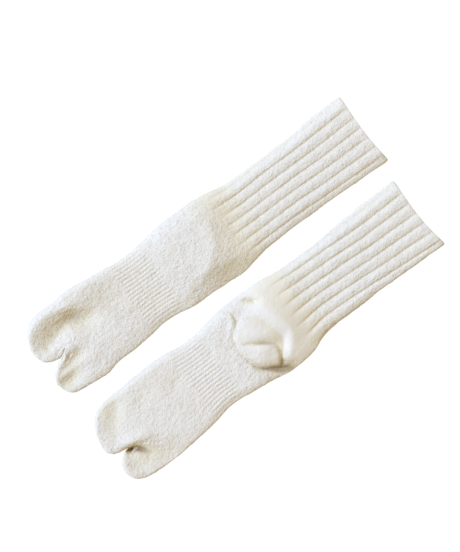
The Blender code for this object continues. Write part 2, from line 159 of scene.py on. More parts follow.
def outlinePoint(low, high, lowFold, highFold, floor, height, run, crossing=None):
    # round a flattened tube: run 0 to 1 climbs the low fold, to 2 crosses the upper panel, to 4 goes
    # down the high fold, to 5 crosses back underneath, to 6 starts up the low fold again
    run = run % 6.0
    crossing = run - 1.0 if crossing is None else crossing
    lowCentre = low + lowFold
    highCentre = high - highFold
    flat = highCentre - lowCentre
    onTop = (run >= 1.0) & (run < 2.0)
    under = (run >= 4.0) & (run < 5.0)
    highSide = (run >= 2.0) & (run < 4.0)
    lowTurn = 180.0 - 90.0 * np.where(run < 1.0, run, run - 6.0)
    angle = np.radians(np.where(highSide, 90.0 * (3.0 - run), lowTurn))
    fold = np.where(highSide, highFold, lowFold)
    fullness = np.where(highSide, knit["highFullness"], knit["lowFullness"])
    reach = np.sign(np.cos(angle)) * np.abs(np.cos(angle)) ** fullness
    climb = np.sign(np.sin(angle)) * np.abs(np.sin(angle)) ** fullness
    y = np.where(highSide, highCentre, lowCentre) + fold * reach
    y = np.where(onTop, lowCentre + flat * crossing, y)
    y = np.where(under, highCentre - flat * (run - 4.0), y)
    z = floor + height * (1.0 + climb) / 2.0
    z = np.where(onTop, floor + height, np.where(under, floor, z))
    outward = np.where(onTop | under, 0.0, np.cos(angle))
    upward = np.where(onTop, 1.0, np.where(under, -1.0, np.sin(angle)))
    # how far round the cloth a point is, measured on the flat from the middle of the upper panel
    quarter = math.pi / 2.0
    around = np.where(onTop, y, highCentre + highFold * quarter * (run - 2.0))
    lowRound = np.where(run < 1.0, lowCentre - lowFold * quarter * (1.0 - run),
                        lowCentre - lowFold * quarter * (7.0 - run))
    around = np.where((run < 1.0) | (run >= 5.0), lowRound, around)
    return y, z, outward, upward, around


def evenSteps(start, end, count):
    return np.linspace(start, end, count, endpoint=False)


# how the cloth is knitted
knit = {
    # a rib's crest and steep side as shares of the ribs' spacing, its shoulder as a share of its depth
    "wideRib": (0.5, 0.26, 0.79),
    "fineRib": (0.42, 0.25, 0.75),
    "climbCurve": 1.2,  # how a rib bends up to its crest and down from it: 1 is straight
    "fallCurve": 2.4,
    "ribFade": 24.0,
    "ribUneven": 0.18,  # how much a rib's height wanders, and over what length
    "ribUnevenSize": 26.0,
    "ribUnevenApart": 40.0,  # how unlike two ribs side by side are
    "paintedGrooveShade": 0.55,  # how much painted warm shade the grooves get
    # painted warm shade in the arch band's fine grooves
    "paintedFineGrooveShade": 0.4,
    "crowding": 0.4,  # how much closer the columns of points stand at a groove
    "followFrom": 200.0,  # where the columns start to follow the grooves
    "followReach": 35.0,
    "wave": 0.5,  # how far the ribs wander to the side, and over what length
    "waveSize": 34.0,
    "ribsRound": 15,
    "underRibDepth": 1.4,  # what is left of a rib where the sock lies on it
    "fineRibDepth": 0.52,  # in the arch band
    "fineRibSteps": 8,  # columns of points for each fine rib
    "fineRibFade": 3.5,
    "bandRagged": 1.6,  # how uneven the band's ends are
    "bandRaggedSize": 5.0,
    "fineRibsRound": 44,
    "sideShare": 0.25,  # how much of a rib stands out at the folded sides
    "swellFullness": 0.7,
    "lowFullness": 0.45,  # how full a folded side is: 1 is round, less is squarer
    "highFullness": 0.9,
    "softFold": 2.0,  # less is a sharper trough
    "crispFold": 1.3,
    "stitchDepth": 1.1,
    "stitchReach": 1.1,
    "lining": 1.0,  # least cloth between a trough and the inside
    "liningReachX": (-9.0, -4.5, 0.0, 4.5, 9.0),  # the lining stays below every trough this near
    "liningReachY": (-4.0, 0.0, 4.0),
    "liningLowest": 0.8,
    "liningGap": 0.4,  # between the lining's two panels
    "sideFade": 22.0,
    "sideCurve": 1.4,
    "weltReach": 6.0,  # the knitted edge of the cuff, where the ribs run out
    "weltFill": 0.55,
    "flareReach": 40.0,
    "cuffCorner": 2.4,
    "smoothPile": 0.45,  # how deep the pile stands on the heel's smooth cloth
    "archPileLoss": 0.6,  # how much of it the arch band loses
    "puffRoundness": 0.55,
    "pileLumps": (  # size and height of the uneven pile
        (4.2, 0.34),
        (2.3, 0.20),
        (11.0, 0.42),
        (24.0, 0.5),
    ),
}
steps = {  # how many points lie round and along each stretch of the cloth
    "fold": 8,
    "upper": 144,
    "underFold": 6,
    "lower": 96,
    "web": 12,
    "pocketRows": 30,
    "innerRows": 26,
    "innerPocketRows": 8,
    "tipCrowding": 1.8,  # how much closer the rows stand at a toe's tip
}


def runsOf(*stretches):
    # one run through stretches of (start, end, steps), to the end of the last
    return np.concatenate([evenSteps(*stretch) for stretch in stretches] + [[stretches[-1][1]]])


def bodyRuns():
    return runsOf((0, 1, steps["fold"]), (1, 2, steps["upper"]), (2, 3, steps["fold"]),
                  (3, 4, steps["underFold"]), (4, 5, steps["lower"]), (5, 6, steps["underFold"]))


def splitPlaces(sock):
    # where the toes part, as steps along the upper and the lower panel
    upper = round(steps["upper"] * sock["split"])
    lower = round(steps["lower"] * (1.0 - sock["split"]))
    return upper, lower


def highPocketRuns(sock):
    upper, lower = splitPlaces(sock)
    return runsOf((1, 2, steps["upper"] - upper), (2, 3, steps["fold"]), (3, 4, steps["underFold"]),
                  (4, 5, lower), (5, 7, steps["web"]))


def lowPocketRuns(sock):
    upper, lower = splitPlaces(sock)
    return runsOf((4, 5, steps["lower"] - lower), (5, 6, steps["underFold"]), (6, 7, steps["fold"]),
                  (7, 8, upper), (8, 10, steps["web"]))


def ribShape(phase, crest, cliff, shoulder):
    # a rib leans: it climbs steeply out of its groove to its shoulder, goes gently on to its crest
    # and falls away
    across = (phase + cliff / 2.0) % 1.0
    near = clamp((crest - across) / (crest - cliff)) ** knit["climbCurve"]
    steep = shoulder * ease(across / cliff)
    far = 1.0 - clamp((across - crest) / (1.0 - crest)) ** knit["fallCurve"]
    return np.where(across < cliff, steep, steep + (1.0 - shoulder) * (1.0 - near)) * far


def crossingOf(sock, stations, share, low, high, height):
    # how far across the upper panel each column of points runs: on the leg the columns follow the
    # grooves, and crowd towards them
    def groovePlaces(places, lowCentre, flat):
        first, spacing = columnsAt(sock["legRibs"], places)
        grooves = first + spacing * np.arange(sock["grooves"])
        inner = (grooves - lowCentre) / flat
        ends = np.ones((len(places), 1))
        return np.concatenate((0.0 * ends, inner, ends), 1)

    middle = np.array([sock["ribsMeasuredAt"]])
    lowFold, highFold, tall = columnsAt(sock["sections"], middle)[:3]
    home = groovePlaces(middle, lowFold + tall / 2.0, highFold - lowFold - tall)[0]
    places = groovePlaces(stations, low + height / 2.0, high - low - height)
    rib = np.interp(share, home, np.arange(len(home)))
    inside = (rib >= 1.0) & (rib <= len(home) - 2.0)
    turn = 2.0 * math.pi
    crowded = rib - np.where(inside, knit["crowding"] * np.sin(turn * rib) / turn, 0.0)
    follow = ease((stations - knit["followFrom"]) / knit["followReach"])
    return np.array([blend(share, np.interp(crowded, np.arange(len(home)), row), part)
                     for row, part in zip(places, follow)])


def ribPhase(first, spacing, run, around, ribsRound):
    # counts the ribs round the tube, a whole number of them, with the underside taking up the rest
    phase = (around - first) / spacing
    highEnd = phase[:, [np.searchsorted(run, 4.0)]]
    lowEnd = phase[:, [np.searchsorted(run, 5.0)]] + ribsRound
    return np.where((run >= 4.0) & (run < 5.0), blend(highEnd, lowEnd, run - 4.0), phase)


def panelSwell(low, high, swell, y):
    across = clamp((y - low) / (high - low))
    return swell * np.sin(math.pi * across) ** knit["swellFullness"]


def puffHeight(x, y, puff):
    # a puffed-up place with its own outline, full at some edges and soft at others
    share, fullness = insideShare(x, y, puff["outline"])
    full = (1.0 - (1.0 - share) ** 2) ** knit["puffRoundness"]
    return puff["rise"] * blend(ease(share), full, fullness)


def surfaceLift(sock, x, y, swellLift):
    # the lift of the upper face, and how hollow it is there, which is painted as warm shade in the
    # colour
    lift = swellLift + sum(moundHeight(x, y, mound) for mound in sock["mounds"])
    lift = lift + sum(puffHeight(x, y, puff) for puff in sock["puffs"])
    hollow = np.zeros(x.shape)
    for kind, crispness in (("folds", knit["softFold"]), ("creases", knit["crispFold"])):
        for fold in sock[kind]:
            depth = foldDepth(x, y, fold, crispness)
            lift = lift - depth
            # each trough's depth also adds painted shade
            hollow = hollow + np.maximum(depth, 0.0) / sock[kind + "Hollow"]
    # these lines paint highlights on crests and shade on sides
    for line in sock["paintedLightAndShade"]:
        hollow = hollow + foldDepth(x, y, line, knit["softFold"])
    for stitchX, stitchY in sock["stitches"]:
        away = np.hypot(x - stitchX, y - stitchY) / knit["stitchReach"]
        lift = lift - knit["stitchDepth"] * np.exp(-away * away)
    return lift, hollow


def pileShareAt(sock, stations, x, y):
    # how deep the pile stands: less on the leg and on the heel's smooth cloth
    share = columnsAt(sock["pileShare"], stations)[0] * np.ones(x.shape)
    if sock["smoothPatch"]:
        smooth = ease(insideShare(x, y, sock["smoothPatch"])[0])
        share = blend(share, knit["smoothPile"], smooth)
    return share


def sideTaper(sock, stations, low, high, height, y):
    # the cloth thins towards its folded sides, as a share of its height
    lowDrop, lowReach, highDrop, highReach = columnsAt(sock["sides"], stations)
    fromLow = clamp(1.0 - (y - low) / lowReach)
    fromHigh = clamp(1.0 - (high - y) / highReach)
    return 1.0 - (lowDrop * fromLow ** knit["sideCurve"] + highDrop * fromHigh * fromHigh) / height


def tube(sock, stations, inset=None, ribShare=None, inside=False):
    # points, flat places, hollowness (how much painted shade) and pile round the tube, a row for each
    # station
    run = bodyRuns()[None, :]
    low, high, height, slack, swell = columnsAt(sock["sections"], stations)
    x = np.broadcast_to(stations[:, None], (len(stations), run.shape[1]))
    corner = clamp((stations[:, None] - sock["length"]) / knit["cuffCorner"] + 1.0)
    corner = knit["cuffCorner"] * (1.0 - np.sqrt(1.0 - corner * corner))
    low = low + corner
    high = high - corner
    inset = np.zeros((len(stations), 1)) if inset is None else inset[:, None]
    ribShare = np.ones((len(stations), 1)) if ribShare is None else ribShare[:, None]
    gone = (height - slack) / 2.0 * inset
    radius = height / 2.0 - gone
    crossing = crossingOf(sock, stations, clamp(run[0] - 1.0), low, high, height)
    y, z, outward, upward, around = outlinePoint(low + gone, high - gone, radius, radius, gone,
                                                 height - 2.0 * gone, run, crossing)
    onTop = np.where((run >= 1.0) & (run < 2.0), 1.0, 0.0)
    wave = knit["wave"] * roughness3d(x, around, 0.0, knit["waveSize"], sock["seed"])
    y = y + onTop * wave * np.sqrt(clamp(np.sin(math.pi * crossing)))
    swellLift = panelSwell(low, high, swell, y)
    # inside the sock the cloth keeps a hollowness of 1: painted warm shade all over
    hollow = np.ones(x.shape)
    pileShare = np.ones(x.shape)
    if inside:
        fromSide = np.minimum(y - low, high - y) / knit["sideFade"]
        tall = sum(moundHeight(x, y, mound) for mound in sock["mounds"] if mound["hollow"])
        tall = tall + sum(puffHeight(x, y, puff) for puff in sock["puffs"] if puff["hollow"])
        troughs = [surfaceLift(sock, x + stepX, y + stepY, swellLift)[0]
                   for stepX in knit["liningReachX"] for stepY in knit["liningReachY"]]
        ceiling = height + np.minimum.reduce(troughs) - knit["lining"]
        z = z + (swellLift + tall * ease(fromSide)) * np.where(upward > 0.99, 1.0, 0.0)
        ceiling = np.maximum(ceiling, knit["liningLowest"])
        z = np.minimum(z, ceiling - knit["liningGap"] * (1.0 - upward) / 2.0)
        z = z * sideTaper(sock, stations, low, high, height, y)
    else:
        lift, hollow = surfaceLift(sock, x, y, swellLift)
        z = z + lift * clamp(upward) * (1.0 - inset)
        under = ease(np.where(run < 4.5, run - 3.0, 6.0 - run))
        side = blend(knit["sideShare"], 1.0, ease(np.minimum(run, 3.0 - run)))
        first, spacing = columnsAt(sock["legRibs"], stations)
        phase = ribPhase(first, spacing, run[0], around, knit["ribsRound"])
        leg = ease((x - sock["legRibStart"]) / knit["ribFade"])
        uneven = roughness3d(x, np.floor(phase) * knit["ribUnevenApart"], 0.0, knit["ribUnevenSize"],
                             sock["seed"] + 3.0)
        uneven = 1.0 + knit["ribUneven"] * uneven
        welt = knit["weltFill"] * ease((x - sock["length"] + 2.0) / knit["weltReach"] + 1.0)
        ribRoll = blend(welt, 1.0, ribShape(phase, *knit["wideRib"]))
        rib = sock["ribDepth"] * uneven * leg * side * ribRoll * (1.0 - under)
        rib = rib + knit["underRibDepth"] * leg * (ribRoll - 1.0) * under
        start, end = sock["archBand"]
        ragged = knit["bandRagged"] * roughness3d(x * 0.0, around, 0.0, knit["bandRaggedSize"],
                                                  sock["seed"])
        arch = (ease((x - start + ragged) / knit["fineRibFade"])
                * ease((end - x + ragged) / knit["fineRibFade"]))
        spacing = (high - low - height) * knit["fineRibSteps"] / steps["upper"]
        finePhase = ribPhase(low + height / 2.0, spacing, run[0], around, knit["fineRibsRound"])
        fineRoll = ribShape(finePhase, *knit["fineRib"])
        rib = rib + knit["fineRibDepth"] * arch * side * (fineRoll - 0.5) * (1.0 - under)
        rib = rib + 0.5 * knit["fineRibDepth"] * arch * (fineRoll - 1.0) * under
        rib = rib * ribShare
        # painted warm shade in the leg's grooves and the arch band's fine grooves, and painted shade on
        # slopes that face away from the key light
        hollow = hollow + knit["paintedGrooveShade"] * leg * (1.0 - ribRoll)
        hollow = hollow + knit["paintedFineGrooveShade"] * arch * (1.0 - fineRoll) ** 2
        hollow = hollow + columnsAt(sock["paintedSlopeShade"], stations)[0]
        pileShare = pileShareAt(sock, stations, x, y)
        lumps = pileLumps(x, y, z, sock["seed"]) * (1.0 - knit["archPileLoss"] * arch) * pileShare
        lumps = lumps * (1.0 - under) - np.abs(lumps) * under
        y = y + (rib + lumps) * outward
        z = z + (rib + lumps) * upward
        z = z + np.where(upward < -0.99, undersideHollow(sock, x, y), 0.0)
    z = z * sideTaper(sock, stations, low, high, height, y)
    across = 2.0 * (y - low) / (high - low) - 1.0
    flare = np.where(across < 0.0, sock["flares"][0], sock["flares"][1])
    x = x + flare * across * across * ease((x - sock["length"]) / knit["flareReach"] + 1.0)
    return np.stack((x, y, z), -1), np.stack((around, x), -1), hollow, pileShare


def undersideHollow(sock, x, y):
    lift = sum(foldDepth(x, y, fold, knit["softFold"]) for fold in sock["underFolds"])
    for ring in sock["underRings"]:
        away = np.abs(ovalReach(x, y, ring) - 1.0)
        lift = lift + ring["rise"] * ease(1.0 - away / ring["steepShare"])
    return lift


def pileLumps(x, y, z, seed):
    total = np.zeros(x.shape)
    for index, (size, height) in enumerate(knit["pileLumps"]):
        total = total + height * roughness3d(x, y, z * 1.5, size, seed + 7.0 * index)
    return total


toe = {
    "tipRoom": 0.4,  # cloth ahead of a pocket's first row of points
    "leastWidth": 0.5,
    "leastFold": 0.2,
    "foldShare": 0.45,  # the most of a pocket's width that a fold takes
    "foldReach": 9.0,  # how far from the crotch the inner fold opens
}


def pocket(sock, table, runs, stations, inside=False):
    # the same for a toe pocket, round from the side too at its tip
    footLow, footHigh, height, slack, swell = columnsAt(sock["sections"], stations)
    edges = tableAt(table, stations)[:, 1:]
    low = edges.min(1, keepdims=True)
    high = edges.max(1, keepdims=True)
    wall = (height - slack) / 2.0 if inside else np.zeros(height.shape)
    x = stations[:, None]
    tip = table[0][0] + wall - toe["tipRoom"]
    radius = height / 2.0 - wall
    short = np.maximum(1.0 - (x - tip) / radius, 0.0)
    tall = 2.0 * radius * np.sqrt(np.maximum(1.0 - short * short, 0.0))
    floor = (height - tall) / 2.0
    low = low + wall
    high = np.maximum(high - wall, low + toe["leastWidth"])
    outerFold = np.minimum(tall / 2.0, (high - low) * toe["foldShare"])
    opened = ease((sock["crotch"] + wall - x) / toe["foldReach"])
    innerFold = np.maximum(outerFold * opened, toe["leastFold"])
    highIsOuter = table[-1][2] > table[-1][1]
    lowFold, highFold = (innerFold, outerFold) if highIsOuter else (outerFold, innerFold)
    run = runs[None, :]
    y, z, outward, upward, around = outlinePoint(low, high, lowFold, highFold, floor, tall, run)
    x = np.broadcast_to(x, y.shape)
    # inside a pocket the cloth keeps a hollowness of 1: painted warm shade all over
    hollow = np.ones(y.shape)
    if not inside:
        lift, hollow = surfaceLift(sock, x, y, panelSwell(footLow, footHigh, swell, y))
        z = z + lift * clamp(upward) * tall / height
        lumps = pileLumps(x, y, z, sock["seed"])
        lumps = np.where(upward < -0.5, -np.abs(lumps), lumps)
        y = y + lumps * outward
        z = z + lumps * upward
    z = z * sideTaper(sock, stations, footLow, footHigh, height, y)
    return np.stack((x, y, z), -1), np.stack((around, x), -1), hollow, np.ones(y.shape)


# the right sock lies instep up: its heel is folded away beneath and lifts the ankle
rightSock = {
    "piece": "right_sock_knit",
    "node": "right_sock",
    "seed": 11,
    "place": (-200.13, 53.64),
    "turn": 0,
    "length": 397.8,
    "flares": (3, 1.6),  # how far the cuff's two corners stand out
    "sections": (  # x, low side, high side, height, slack inside, swell
        (28, -43.5, 44.5, 11, 1.2, 1.2), (48, -45, 45, 10.6, 1.2, 1.4),
        (66, -41.8, 46.4, 10.4, 1.2, 1.4), (84, -41.5, 44, 10.2, 1.2, 1.2),
        (104, -40.2, 41.6, 9.4, 1.2, 1), (122, -37.8, 39.2, 8.6, 1, 0.8), (140, -38.6, 39.2, 8.8, 1, 1),
        (158, -42, 41.6, 9.8, 1.2, 1.4), (180, -42.7, 43.8, 10.6, 1.2, 1.8),
        (204, -43.8, 44, 10.8, 1.2, 1.8), (219, -44.6, 43.8, 10.8, 1.2, 1.6),
        (236, -41.6, 41.2, 9.2, 1.2, 1), (250, -39.2, 38, 8, 1.2, 0.5), (262, -38.4, 37.2, 8, 1.2, 0.4),
        (290, -37.8, 36.4, 8, 1.2, 0.4), (330, -38, 37, 8, 1.2, 0.4), (362, -39, 39.4, 8.2, 1.4, 0.4),
        (398, -40.4, 40, 9.2, 3, 0.4),
    ),
    "crotch": 29.5,
    "split": 0.507,
    "fourToes": (  # x, edge beside the other pocket, edge on the foot's own side
        (-0.3, 14.4, 16.8), (0, 11.5, 19.5), (2, 4.9, 25.1), (5, 0.6, 31.8), (10, -2.4, 37.9),
        (16, -4.1, 42.2), (22, -3.8, 43.9), (27, 0.2, 44.4), (29.5, 1.1, 44.5),
    ),
    "bigToe": (
        (0.9, -23, -25), (1.2, -21.4, -26.4), (3, -17.6, -31.5), (6, -12.9, -36.7), (10, -9.9, -40.1),
        (16, -6.4, -42.1), (22, -4.6, -42.9), (27, -0.6, -43.4), (29.5, 0.9, -43.5),
    ),
    "mounds": (
        {"x": 182, "y": 11, "halfLength": 46, "halfWidth": 46, "turn": -12, "rise": 2.8,
         "steepShare": 0.9, "hollow": True},
    ),
    "puffs": (),
    "smoothPatch": [],
    "underRings": (
        {"x": 188, "y": 4, "halfLength": 27, "halfWidth": 36, "turn": 0, "rise": 2.2,
         "steepShare": 0.25},
    ),
    "underFolds": (
        ((22, 24, 0.1, 4), (34, 18, 1, 5), (46, 6, 0.8, 6), (52, -6, 0.1, 5)),
        ((60, -24, 0.1, 6), (70, -12, 0.8, 7), (74, 4, 0.7, 7), (70, 18, 0.1, 6)),
        ((226, -26, 0.1, 6), (232, -10, 1, 7), (234, 8, 0.8, 8), (230, 24, 0.1, 6)),
    ),
    "sides": (  # x, then how far the low and the high side drop and over what reach
        (0, 0, 8, 0, 8), (30, 1, 8, 0.5, 8), (70, 1.6, 12, 0.5, 8), (100, 2, 14, 1.6, 10),
        (130, 3.2, 12, 2.8, 14), (156, 2.6, 14, 2.8, 14), (170, 4.4, 22, 3.2, 16),
        (206, 4.8, 22, 4, 18), (232, 2.6, 12, 3.6, 14), (260, 1.8, 10, 4, 13), (306, 3.2, 11, 4, 13),
        (356, 2.4, 10, 4, 13), (386, 3.2, 10, 4, 13), (398, 3.2, 10, 4, 13),
    ),
    # how many millimetres of a trough's depth make one step of painted shade
    "foldsHollow": 5,
    "creasesHollow": 5,
    "paintedLightAndShade": (  # painted highlights on crests (share below zero) and painted shade on sides: places of x, y, share, half width
        ((14, 5, -0.3, 5), (22, 5, -0.55, 5), (34, 3, -0.55, 6), (46, 1, -0.3, 7)),
        ((14, 10, -0.1, 4), (24, 13, -0.4, 4.5), (36, 14, -0.45, 4.5), (46, 12, -0.2, 5)),
        ((56, 9, -0.1, 4), (64, 7, -0.35, 5), (74, 5, -0.2, 6)),
        ((14, -35, -0.1, 3), (24, -35, -0.3, 3.5), (34, -30, -0.2, 4)),
    ),
    "folds": (  # places of x, y, depth, half width
        ((9, 13, 2.2, 9, 8), (20, 14, 5, 12, 9), (34, 17, 6.2, 12, 10), (45, 22, 7.4, 7, 12),
         (54, 20, 8.2, 7, 13), (64, 12, 6.6, 10, 13), (76, 5, 2.2, 13, 12), (88, 2, 0.6, 13, 12)),
        ((4, 26, -0.6, 5, 8), (12, 33, -1.8, 6, 9), (24, 37, -2.4, 6, 9), (36, 38, -1.6, 5, 8),
         (46, 38, -0.4, 5, 8)),
        ((40, 36, -0.8, 5, 2.6), (48, 34, -2.8, 5, 2.6), (57, 30, -2.8, 6, 3), (68, 24, -0.6, 7, 5)),
        ((14, 5, -0.5, 6), (22, 5, -1.2, 6), (34, 3, -1.4, 7), (46, 1, -0.4, 8)),
        ((62, 36, -0.4, 8, 16), (78, 37, -1.4, 7, 16), (94, 35, -1.1, 6, 14), (108, 33, -0.3, 6, 12)),
        ((2, -28, 1.4, 4, 6), (8, -27.5, 4.2, 5.5, 7), (18, -27, 4.8, 6, 8), (28, -23, 2.4, 6, 9),
         (38, -18, 0.4, 6, 9)),
        ((10, -17, 0.6, 4, 4), (18, -15.5, 2.6, 4.5, 4), (28, -14, 4.2, 5.5, 5), (37, -12, 3, 6, 6),
         (46, -9, 0.4, 7, 7)),
        ((66, 26, 0.5, 10), (78, 22, 1.8, 12), (92, 18, 1.9, 13), (104, 13, 0.8, 12)),
        ((228, 34, 0.2, 10), (238, 20, 0.9, 11), (236, 2, 1, 12), (228, -14, 0.8, 12),
         (220, -28, 0.3, 11)),
        ((172, -46, 0.8, 14), (188, -47, 3.4, 16), (204, -46, 4.8, 17), (218, -42, 3.8, 16),
         (232, -36, 0.8, 12)),
    ),
    "creases": (
        ((236, 40, -0.8, 16, 14), (231, 26, -1.6, 32, 15), (222, 14, -2.4, 44, 15),
         (213, 2, -3.4, 50, 14), (205, -9, -4.8, 54, 13), (196, -18, -5.2, 50, 13),
         (186, -24, -4, 38, 13), (174, -30, -1.6, 26, 12)),
        ((16, 1, 0.6, 3), (22, 1.5, 1.8, 3), (28, 2.5, 1.6, 2.6), (36, 2, 0.4, 2.4)),
        ((20, -11, 1, 1.6), (24, -9.5, 2.2, 1.6), (28, -8, 1.8, 1.6), (33, -7, 0.4, 2)),
        ((40, 37, 0.4, 2.4), (46, 34, 1.2, 2.2), (54, 32, 1.6, 2.4), (64, 28, 1, 2.6),
         (72, 24, 0.3, 3)),
    ),
    "archBand": (109, 151),
    "stitches": ((26, 41), (36, 41), (46, 39.5), (38, 2), (40.5, 4), (43, 2), (40.5, 0)),
    "pileShare": ((0, 1), (216, 1), (238, 0.7), (258, 0.95), (398, 0.95)),
    # painted warm shade along x, on the arch and on the slope from the ankle to the leg
    "paintedSlopeShade": ((0, 0), (104, 0), (114, 0.1), (146, 0.1), (156, 0), (196, 0),
               (214, 0.3), (232, 0.65), (246, 0.5), (262, 0.1), (276, 0), (398, 0)),
    "legRibStart": 224,
    "ribDepth": 1.36,
    "grooves": 6,
    "ribsMeasuredAt": 300,
    "legRibs": (  # x, first groove, spacing
        (236, -30, 10.9), (256, -29.5, 10.55), (296, -29.5, 10.8), (336, -31, 11.1), (386, -32.5, 11.8),
    ),
    "stretches": (  # from, to, spacing of the rows of points
        (29.5, 60, 1.3), (60, 104, 1.6), (104, 156, 1.9), (156, 240, 1.25), (240, 391, 2.2),
    ),
}

